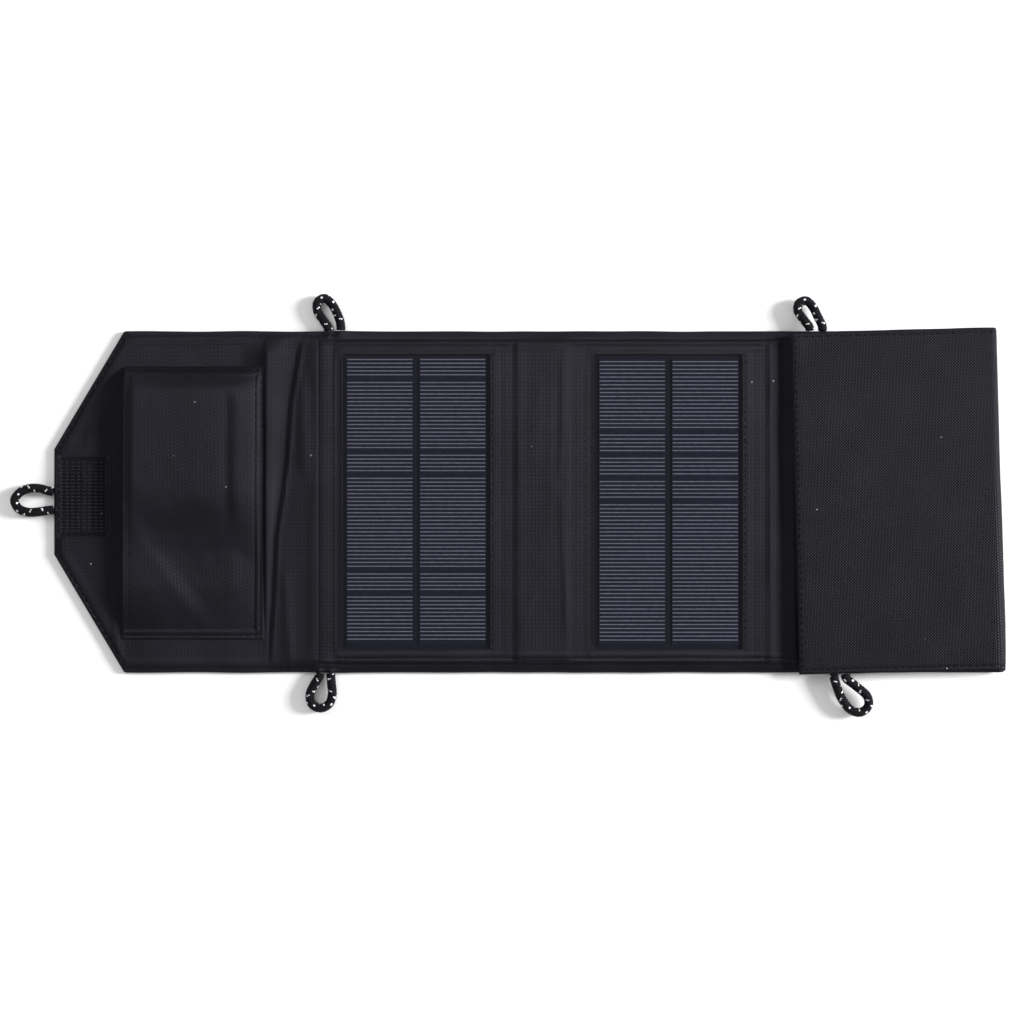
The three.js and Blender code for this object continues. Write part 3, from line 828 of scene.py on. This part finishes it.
def flat_area(start, end, windows):
    """The area in square metres of the cloth between two positions."""
    step = (end - start) / AREA_STEPS
    area = sum(half_height(start + step * (i + 0.5)) * 2 for i in range(AREA_STEPS)) * step
    if windows:
        area -= 4 * WINDOW_HALF_X * WINDOW_HALF_Y
    return area * MM * MM


def add_wallet():
    """The lining and the back cover in sheets. Each narrow strip is listed with the sheet beside it, in a
    list that nothing reads.
    """
    for kind, height, outward, material, slot in (
        ("lining_cloth", lining_height, 1, LINING, "lining_cloth"),
        ("back_cloth", lambda x, y: -cover_depth(x, y), -1, COVER, "outer_cloth"),
    ):
        sheets = []
        for name, start, end, bodies, crease in segments():
            windows = name.startswith("panel") and outward > 0
            piece = cloth(f"{name}_{kind}", start, end, height, outward, material, windows)
            attach(piece, bodies, crease)
            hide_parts(cad_sheet(name, outward))
            if end - start < NARROW:
                sheets[-1][3].append(piece)
            else:
                sheets.append((piece, end - start, flat_area(start, end, windows), []))


def cad_sheet(name, outward):
    core = name.removesuffix("_near").removesuffix("_far")
    if core.startswith("panel"):
        return f"{core}_front_frame" if outward > 0 else f"{core}_back_cover"
    return f"{core}_lining" if outward > 0 else f"{core}_cover"


# --- Stitches ---

STITCH_PITCH = 3.3
STITCH_LENGTH = 2.3
STITCH_RADIUS = 0.25
STITCH_SIDES = 5
STITCH_ARCH = 0.16
STITCH_SINK = 0.04
STITCH_RINGS = ((-0.5, 0.1), (-0.34, 0.8), (0.0, 1.0), (0.34, 0.8), (0.5, 0.1))


def stitch_spots(points):
    """The middle and direction of each stitch along a line of points."""
    spots = []
    for (x0, y0), (x1, y1) in zip(points, points[1:]):
        length = math.hypot(x1 - x0, y1 - y0)
        count = max(1, round(length / STITCH_PITCH))
        for i in range(count):
            t = (i + 0.5) / count
            spots.append((x0 + (x1 - x0) * t, y0 + (y1 - y0) * t, (x1 - x0) / length, (y1 - y0) / length))
    return spots


def stitch_mesh(name, spots, surface, side):
    """Small arched threads. side is 1 above the surface and -1 below it."""
    vertices, faces = [], []
    for x, y, dx, dy in spots:
        turn = random.uniform(-0.07, 0.07)
        dx, dy = dx - dy * turn, dy + dx * turn
        base = len(vertices)
        for t, swell in STITCH_RINGS:
            px, py = x + dx * t * STITCH_LENGTH, y + dy * t * STITCH_LENGTH
            rise = STITCH_ARCH * (1 - (2 * t) ** 2) - STITCH_SINK
            for k in range(STITCH_SIDES):
                angle = 2 * math.pi * k / STITCH_SIDES
                across = STITCH_RADIUS * swell * math.cos(angle)
                up = STITCH_RADIUS * swell * math.sin(angle)
                qx, qy = px - dy * across, py + dx * across
                vertices.append(surface(qx, qy, side * (rise + up)))
        faces += ring_faces(base, len(STITCH_RINGS), STITCH_SIDES)
    return add_mesh(name, vertices, faces, [THREAD]) if vertices else None


def hem_line(inset):
    """The seam round the flap, in two halves."""
    slope = math.atan2(HALF - TIP_HALF, SHOULDER - FLAP_TIP)
    shoulder_x = SHOULDER + inset * math.tan(slope / 2) * 0.55
    tip_y = TIP_HALF - inset * 0.3
    tip_x, top_y = FLAP_TIP + inset, HALF - inset
    upper = [(tip_x, 0), (tip_x, tip_y), (shoulder_x, top_y), (LEFT_SEAM, top_y)]
    return upper, [(x, -y) for x, y in upper]


SPLITS = [start for _, start, _, _, _ in segments() if start > LEFT_SEAM + 1]
END_SEAM = [(FREE_END - 1.9, HALF - 2), (FREE_END - 1.9, -HALF + 2)]


def edge_seams(insets):
    """Seams along both long edges, broken where a stretch of cloth ends."""
    lines = []
    for inset in insets:
        for side in (-1, 1):
            y = side * (HALF - inset)
            lines += [[(a, y), (b, y)] for a, b in zip([LEFT_SEAM, *SPLITS], [*SPLITS, FREE_END - 2])]
    return lines


def seam_lines():
    """Every line of stitches on the lining side."""
    lines = [*hem_line(HEM_SEAM), *edge_seams(BORDER_SEAMS)]
    for middle in MIDDLES:
        for x in (middle - WINDOW_HALF_X - SEAM_LEFT, middle + WINDOW_HALF_X + SEAM_RIGHT):
            lines.append([(x, HALF - BORDER), (x, -HALF + BORDER)])
    return lines + [END_SEAM]


def back_lines():
    """The seams that come through to the back cover."""
    return [*hem_line(HEM_SEAM), *edge_seams([HEM_SEAM]), END_SEAM]


def lining_surface(x, y, up):
    return laid(x, y, lining_height(x, y) + up)


def cover_surface(x, y, up):
    return laid(x, y, -cover_depth(x, y) + up)


def add_seams():
    lining_spots = [spot for line in seam_lines() for spot in stitch_spots(line)]
    back_spots = [spot for line in back_lines() for spot in stitch_spots(line)]
    for name, start, end, bodies, crease in segments():
        for kind, spots, surface, side in (
            ("lining", lining_spots, lining_surface, 1),
            ("back", back_spots, cover_surface, -1),
        ):
            here = [spot for spot in spots if start <= spot[0] < end]
            piece = stitch_mesh(f"{name}_{kind}_stitches", here, surface, side)
            if piece:
                attach(piece, bodies, crease)


# --- Finger lines on the cells ---

FINGER_GAP = 3.54
FINGER_WIDTH = 0.5
FINGER_RISE = 0.03
FINGER_INSET = 0.35

# On each panel: the first line's y, the pitch, and how many lines stand together between the wider gaps.
FINGER_ROWS = (
    (64.6, 1.733, (5, 18, 5, 24, 5, 12)),
    (63.6, 1.752, (18, 5, 5, 5, 36)),
    (64.6, 1.733, (36, 5, 5, 5, 18)),
    (64.6, 1.733, (12, 5, 24, 5, 18, 5)),
)


CELL_WIDTH = high("panel_1_cells_left")[0] - low("panel_1_cells_left")[0]
CELL_TOP = high("panel_1_cells_left")[2]
FINGER_PROFILE = ((-0.5, 0), (-0.3, 1), (0.3, 1), (0.5, 0))


def panel_point(number, x, y, z):
    """Where a point on a panel lies. Only panel 4 is folded back at rest."""
    return laid(x, y, z) if number == 4 else Vector((x, y, z))


def finger_rows(y, pitch, groups):
    rows = []
    for group in groups:
        rows += [y - pitch * i for i in range(group)]
        y = rows[-1] - FINGER_GAP
    return rows


def add_fingers():
    for number, (y, pitch, groups) in enumerate(FINGER_ROWS, 1):
        rows = finger_rows(y, pitch, groups)
        middle = MIDDLES[number - 1]
        vertices, faces = [], []
        for side in (-1, 1):
            near = middle + side * (CELL_SPAN / 2 - FINGER_INSET)
            far = middle + side * ((CELL_SPAN / 2 - CELL_WIDTH) + FINGER_INSET)
            x0, x1 = min(near, far), max(near, far)
            for y in rows:
                base = len(vertices)
                for x in (x0, x1):
                    for across, up in FINGER_PROFILE:
                        z = CELL_TOP + up * FINGER_RISE
                        vertices.append(panel_point(number, x, y + across * FINGER_WIDTH, z))
                for k in range(3):
                    faces.append((base + k, base + 4 + k, base + 5 + k, base + 1 + k))
        piece = add_mesh(f"panel_{number}_fingers", vertices, faces, [FINGERS])
        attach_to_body(piece, f"panel_{number}")


# --- Cable pocket ---

POCKET_LOW = low("cable_pocket")
POCKET_HIGH = high("cable_pocket")
POCKET_TILT = 0.011
POCKET_LEVEL = 0.45
POCKET_HEM = 0.55
POCKET_SEAM = 2.0
POCKET_INNER_SEAM = 4.2
POCKET_LEAST = 0.08
POCKET_CEILING = POCKET_HIGH[2] + 0.45
CAP_SOFT = 0.25
MOUTH_SEAM = 2.9
MOUTH_REACH = 34
PUFF = 3.0
SLANT = 0.95
CASE_LOW = low("regulator_base")
CASE_HIGH = high("regulator_lid")
CASE_ROUND = 0.6
CASE_SLOPE_ABOVE = 12.4
CASE_SLOPE_BELOW = 48
CASE_SLOPE_RIGHT = 12.5


def softly(a, b):
    """The higher of two heights, with a rounded change from one to the other."""
    return max(a, b) + 0.9 * math.exp(-abs(a - b) / 1.3) * min(1, max(a, b) / 3)


def case_lift(x, y):
    """The pocket cloth over the regulator, with its slopes down to the sewn edges."""
    top = CASE_HIGH[2] + FABRIC + 0.1 - SHEET - POCKET_LEVEL
    beside_y = max(CASE_LOW[1] - CASE_ROUND - y, y - CASE_HIGH[1] - CASE_ROUND, 0)
    beside_x = max(x - CASE_HIGH[0] - CASE_ROUND, 0)
    if y > CASE_HIGH[1]:
        past_y = 1 - min(beside_y / CASE_SLOPE_ABOVE, 1) ** 2
    else:
        past_y = 1 - smooth(beside_y / CASE_SLOPE_BELOW)
    past_x = 1 - min(beside_x / CASE_SLOPE_RIGHT, 1) ** 2.2
    droop = 1 - 0.2 * smooth((CASE_LOW[0] - 0.8 - x) / 4.5)
    return top * past_y * past_x * droop


def pocket_puff(x, top, bottom, right):
    """The slack pocket cloth, which stands up most at the mouth."""
    mouth = 1 - smooth((x - POCKET_LOW[0]) / MOUTH_REACH)
    return PUFF * smooth(bottom / 26) * smooth(top / 14) * smooth(right / 16) * (0.75 + 0.4 * mouth)


def pocket_slant(x, y, bottom, right):
    """The long slanting slope across the pocket's lower left."""
    slant = 1 - smooth(((x + 118.9) * 0.83 + (y + 26.4) * 0.56) / 9)
    return slant * (smooth(bottom / 16) * smooth(right / 14))


def case_ridge(x, y):
    """The ridge and valley along the regulator's right edge."""
    beside_case = smooth((y + 14) / 14) * smooth((52 - y) / 10)
    profile = 0.6 * hill(x + 80.8, 2.6) - 0.3 * hill(x + 85.6, 2.0) + 0.3 * smooth((-86 - x) / 6)
    return beside_case * profile


def pocket_height(x, y):
    """The pocket cloth's outer face: sewn flat on three sides, gaping at the mouth."""
    top, bottom, right = POCKET_HIGH[1] - y, y - POCKET_LOW[1], POCKET_RIGHT - x
    inset = min(top, bottom, right)
    ripple = 0.5 + 0.5 * noise.noise((x * 0.05, y * 0.04, 14.0))
    fine = noise.noise((x * 0.17, y * 0.12, 17.0))
    loose = pocket_puff(x, top, bottom, right) + SLANT * pocket_slant(x, y, bottom, right)
    height = softly(case_lift(x, y), loose) + case_ridge(x, y) * smooth(inset / 7)
    height += (0.5 * ripple + 0.12 * fine) * smooth(inset / 8)
    height += POCKET_HEM * smooth(inset / 0.4) * (1 - smooth((inset - 3.4) / 1.4))
    height -= 0.3 * hill(inset - POCKET_SEAM, 0.5)
    height -= 0.25 * hill(right - POCKET_INNER_SEAM, 0.5)
    height -= 0.2 * hill(x - POCKET_LOW[0] - MOUTH_SEAM, 0.5)
    height = SHEET + POCKET_LEVEL + hem_lift(x, y) + max(height, POCKET_LEAST)
    return POCKET_CEILING - CAP_SOFT * math.log(1 + math.exp((POCKET_CEILING - height) / CAP_SOFT))


def pocket_point(x, y, up=0.0):
    """A point above the pocket cloth, whose sides lean a little."""
    return Vector((x + POCKET_TILT * y * 0.6, y, pocket_height(x, y) + up))


def pocket_lines():
    left, bottom = POCKET_LOW[:2]
    top = POCKET_HIGH[1]
    xs = stops([left, left + 5, POCKET_RIGHT - 14, POCKET_RIGHT - 6], 0.8)[:-1]
    xs += stops([POCKET_RIGHT - 6, POCKET_RIGHT], 0.4)
    ys = stops([bottom, bottom + 6], 0.45)[:-1] + stops([bottom + 6, top - 6], 0.9)[:-1]
    return xs, ys + stops([top - 6, top], 0.45)


def pocket_seams():
    """The seams round the pocket, one more inside its right edge, and one along its mouth."""
    start, mouth = POCKET_LOW[0] + 1, POCKET_LOW[0] + MOUTH_SEAM
    inner, right = POCKET_RIGHT - POCKET_INNER_SEAM, POCKET_RIGHT - POCKET_SEAM
    top, bottom = POCKET_HIGH[1] - POCKET_SEAM, POCKET_LOW[1] + POCKET_SEAM
    return (
        [(start, top), (right, top)],
        [(right, top), (right, bottom)],
        [(start, bottom), (right, bottom)],
        [(inner, top - 2.2), (inner, bottom + 2.2)],
        [(mouth, top - 2), (mouth, bottom + 2)],
    )


def add_pocket():
    """The pocket's cloth and stitches, which reach a little over the flap's crease."""
    xs, ys = pocket_lines()
    vertices = [pocket_point(x, y) for x in xs for y in ys]
    uvs = [(x * MM, (y + 0.12 * x) * MM) for x in xs for y in ys]
    pocket = add_mesh("pocket_cloth", vertices, grid_faces(len(xs), len(ys)), [LINING], uvs)
    thicken(pocket, FABRIC)
    fold = crease_x("flap_fold")
    attach(pocket, ("flap", "spine"), (fold, BEND_HALF))
    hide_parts("cable_pocket")
    spots = [spot for line in pocket_seams() for spot in stitch_spots(line)]
    stitches = stitch_mesh("pocket_stitches", spots, pocket_point, 1)
    attach(stitches, ("flap", "spine"), (fold, BEND_HALF))


# --- Hook and loop tape ---

TAPE_INSET = 3.0
HOOK_PITCH = (1.3, 1.55)
HOOK_HEIGHT = 1.1
HOOK_RADIUS = 0.14
HOOK_SEAM = 1.5
# A hook's rings: how far each leans over, in millimetres, and its share of the height.
HOOK_RINGS = ((0, 0), (0.05, 0.5), (0.22, 0.85), (0.5, 0.95), (0.68, 0.72))
HOOK_SIDES = 4
LOOP_GROUND = 0.42
LOOP_COUNT = 900
LOOP_INSET = 1.6
LOOP_SIZES = (0.18, 0.36)
LOOP_RADIUS = 0.05
LOOP_RINGS = 6
LOOP_SIDES = 3
LOOP_SEAM = 1


def tape_ground(name, low_corner, high_corner, top, side, materials):
    """The woven band of a tape, with a raised selvedge round it."""
    xs, ys = (
        stops([start, start + TAPE_INSET, end - TAPE_INSET, end], 0.6)
        for start, end in list(zip(low_corner, high_corner))[:2]
    )
    vertices = []
    for x in xs:
        for y in ys:
            inset = min(x - xs[0], xs[-1] - x, y - ys[0], ys[-1] - y)
            rim = 0.1 * hill(inset - 1.2, 0.7) - 0.3 * hill(inset, 0.35)
            rib = 0.03 * math.sin(y * 6.5)
            vertices.append((x, y, top + side * (rim + rib)))
    slots = []
    for x0, x1 in zip(xs, xs[1:]):
        x = (x0 + x1) / 2
        on_selvedge = min(x - xs[0], xs[-1] - x) < TAPE_INSET * 0.8
        slots += [int(on_selvedge)] * (len(ys) - 1)
    uvs = [(v[0] * MM, v[1] * MM) for v in vertices]
    return add_mesh(name, vertices, grid_faces(len(xs), len(ys), side), materials, uvs, slots)


def tape_stitches(name, lowest, highest, inset, level, side):
    x0, x1 = lowest[0] + inset, highest[0] - inset
    y0, y1 = lowest[1] + inset, highest[1] - inset
    outline = [(x0, y0), (x1, y0), (x1, y1), (x0, y1), (x0, y0)]
    return stitch_mesh(name, stitch_spots(outline), lambda x, y, up: Vector((x, y, level + up)), side)


def finish_tape(node, body, band, pile, stitches):
    for piece, slot in ((band, node), (pile, node), (stitches, "thread")):
        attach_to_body(piece, body)
    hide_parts(node)


def hook_points(x, y, ground, lean):
    """The points of one bent hook. lean is 1 to the right and -1 to the left."""
    points = []
    for over, up in HOOK_RINGS:
        for k in range(HOOK_SIDES):
            out = HOOK_RADIUS * math.cos(math.pi / 2 * k)
            points.append((
                x + lean * over * 0.8 + out,
                y + HOOK_RADIUS * math.sin(math.pi / 2 * k),
                ground + up * HOOK_HEIGHT + lean * out * (over > 0.3),
            ))
    return points


def add_hook_tape():
    """Rows of hooks, which lean left and right in turn, on their band."""
    lowest, highest = low("hook_tape"), high("hook_tape")
    ground = highest[2] - HOOK_HEIGHT
    band = tape_ground("hook_tape_band", lowest, highest, ground, 1, [TAPE, HEM_TAPE])
    thicken(band, ground - lowest[2])
    vertices, faces = [], []
    x = lowest[0] + TAPE_INSET
    lean = -1
    while x < highest[0] - TAPE_INSET:
        y = lowest[1] + TAPE_INSET
        while y < highest[1] - TAPE_INSET:
            place = (x + random.uniform(-0.1, 0.1), y + random.uniform(-0.12, 0.12))
            faces += ring_faces(len(vertices), len(HOOK_RINGS), HOOK_SIDES)
            vertices += hook_points(*place, ground, lean)
            y += HOOK_PITCH[1]
        x += HOOK_PITCH[0]
        lean = -lean
    hooks = add_mesh("hook_tape_hooks", vertices, faces, [HOOKS])
    stitches = tape_stitches("hook_tape_stitches", lowest, highest, HOOK_SEAM, ground + 0.1, 1)
    finish_tape("hook_tape", "flap", band, hooks, stitches)


def loop_points(x, y, ground, heading, radius):
    """The points of one small arch of thread under the band."""
    points = []
    for r in range(LOOP_RINGS):
        arc = math.pi * r / (LOOP_RINGS - 1)
        middle_x = x + math.cos(heading) * math.cos(arc) * radius
        middle_y = y + math.sin(heading) * math.cos(arc) * radius
        for k in range(LOOP_SIDES):
            angle = 2 * math.pi * k / LOOP_SIDES
            points.append((
                middle_x - LOOP_RADIUS * math.sin(heading) * math.cos(angle),
                middle_y + LOOP_RADIUS * math.cos(heading) * math.cos(angle),
                ground - math.sin(arc) * radius - LOOP_RADIUS * math.sin(angle),
            ))
    return points


def add_loop_tape():
    """Small loops, strewn at random under their band."""
    lowest, highest = low("loop_tape"), high("loop_tape")
    ground = lowest[2] + LOOP_GROUND
    band = tape_ground("loop_tape_band", lowest, highest, ground, -1, [TAPE, HEM_TAPE])
    thicken(band, highest[2] - ground)
    vertices, faces = [], []
    for _ in range(LOOP_COUNT):
        x = random.uniform(lowest[0] + LOOP_INSET, highest[0] - LOOP_INSET)
        y = random.uniform(lowest[1] + LOOP_INSET, highest[1] - LOOP_INSET)
        heading = random.uniform(0, math.pi)
        radius = random.uniform(*LOOP_SIZES)
        faces += ring_faces(len(vertices), LOOP_RINGS, LOOP_SIDES)
        vertices += loop_points(x, y, ground, heading, radius)
    pile = add_mesh("loop_tape_pile", vertices, faces, [LOOPS])
    stitches = tape_stitches("loop_tape_stitches", lowest, highest, LOOP_SEAM, ground, -1)
    finish_tape("loop_tape", "panel_2", band, pile, stitches)


# --- Studio ---

FLOOR_HALF = 1500
WORLD_LIGHT = 0.5


def add_floor():
    level = low("loop_tape")[2] - 0.1
    corners = [(x * FLOOR_HALF, y * FLOOR_HALF, level) for x, y in ((-1, -1), (1, -1), (1, 1), (-1, 1))]
    floor = add_mesh("floor", corners, [(0, 1, 2, 3)], [])
    m = Nodes("floor_paper")
    fibres = m.noise(m.place(), 60.0, 3.0)
    m.set(Base_Color=m.mix(fibres, rgba(0.86, 0.86, 0.86), rgba(0.9, 0.9, 0.9)), Roughness=0.9)
    m.set(Specular_IOR_Level=0.1)
    floor.data.materials.append(m.material)


def add_light(name, location, target, size, power):
    """A soft rectangular light that points at the target, in metres and watts."""
    data = bpy.data.lights.new(name, "AREA")
    data.shape = "RECTANGLE"
    data.size, data.size_y = size
    data.energy = power
    light = bpy.data.objects.new(name, data)
    light.location = location
    light.rotation_euler = (Vector(target) - Vector(location)).to_track_quat("-Z", "Y").to_euler()
    scene.collection.objects.link(light)


def add_studio():
    """A low key light from the right, a weak fill light and an even sky."""
    add_floor()
    add_light("key_light", (2.55, 0.4, 1.05), target=(0.05, 0, 0), size=(0.7, 0.9), power=150)
    add_light("fill_light", (-0.7, 0.8, 1.2), target=(0.0, 0, 0), size=(0.8, 0.9), power=7)
    world = bpy.data.worlds.new("studio")
    world.use_nodes = True
    sky = world.node_tree.nodes["Background"]
    sky.inputs["Color"].default_value = rgba(1, 1, 1)
    sky.inputs["Strength"].default_value = WORLD_LIGHT
    scene.world = world
    scene.view_settings.view_transform = "Standard"


paint_cad_nodes()
add_wallet()
add_seams()
add_fingers()
add_pocket()
add_hook_tape()
add_loop_tape()
add_studio()
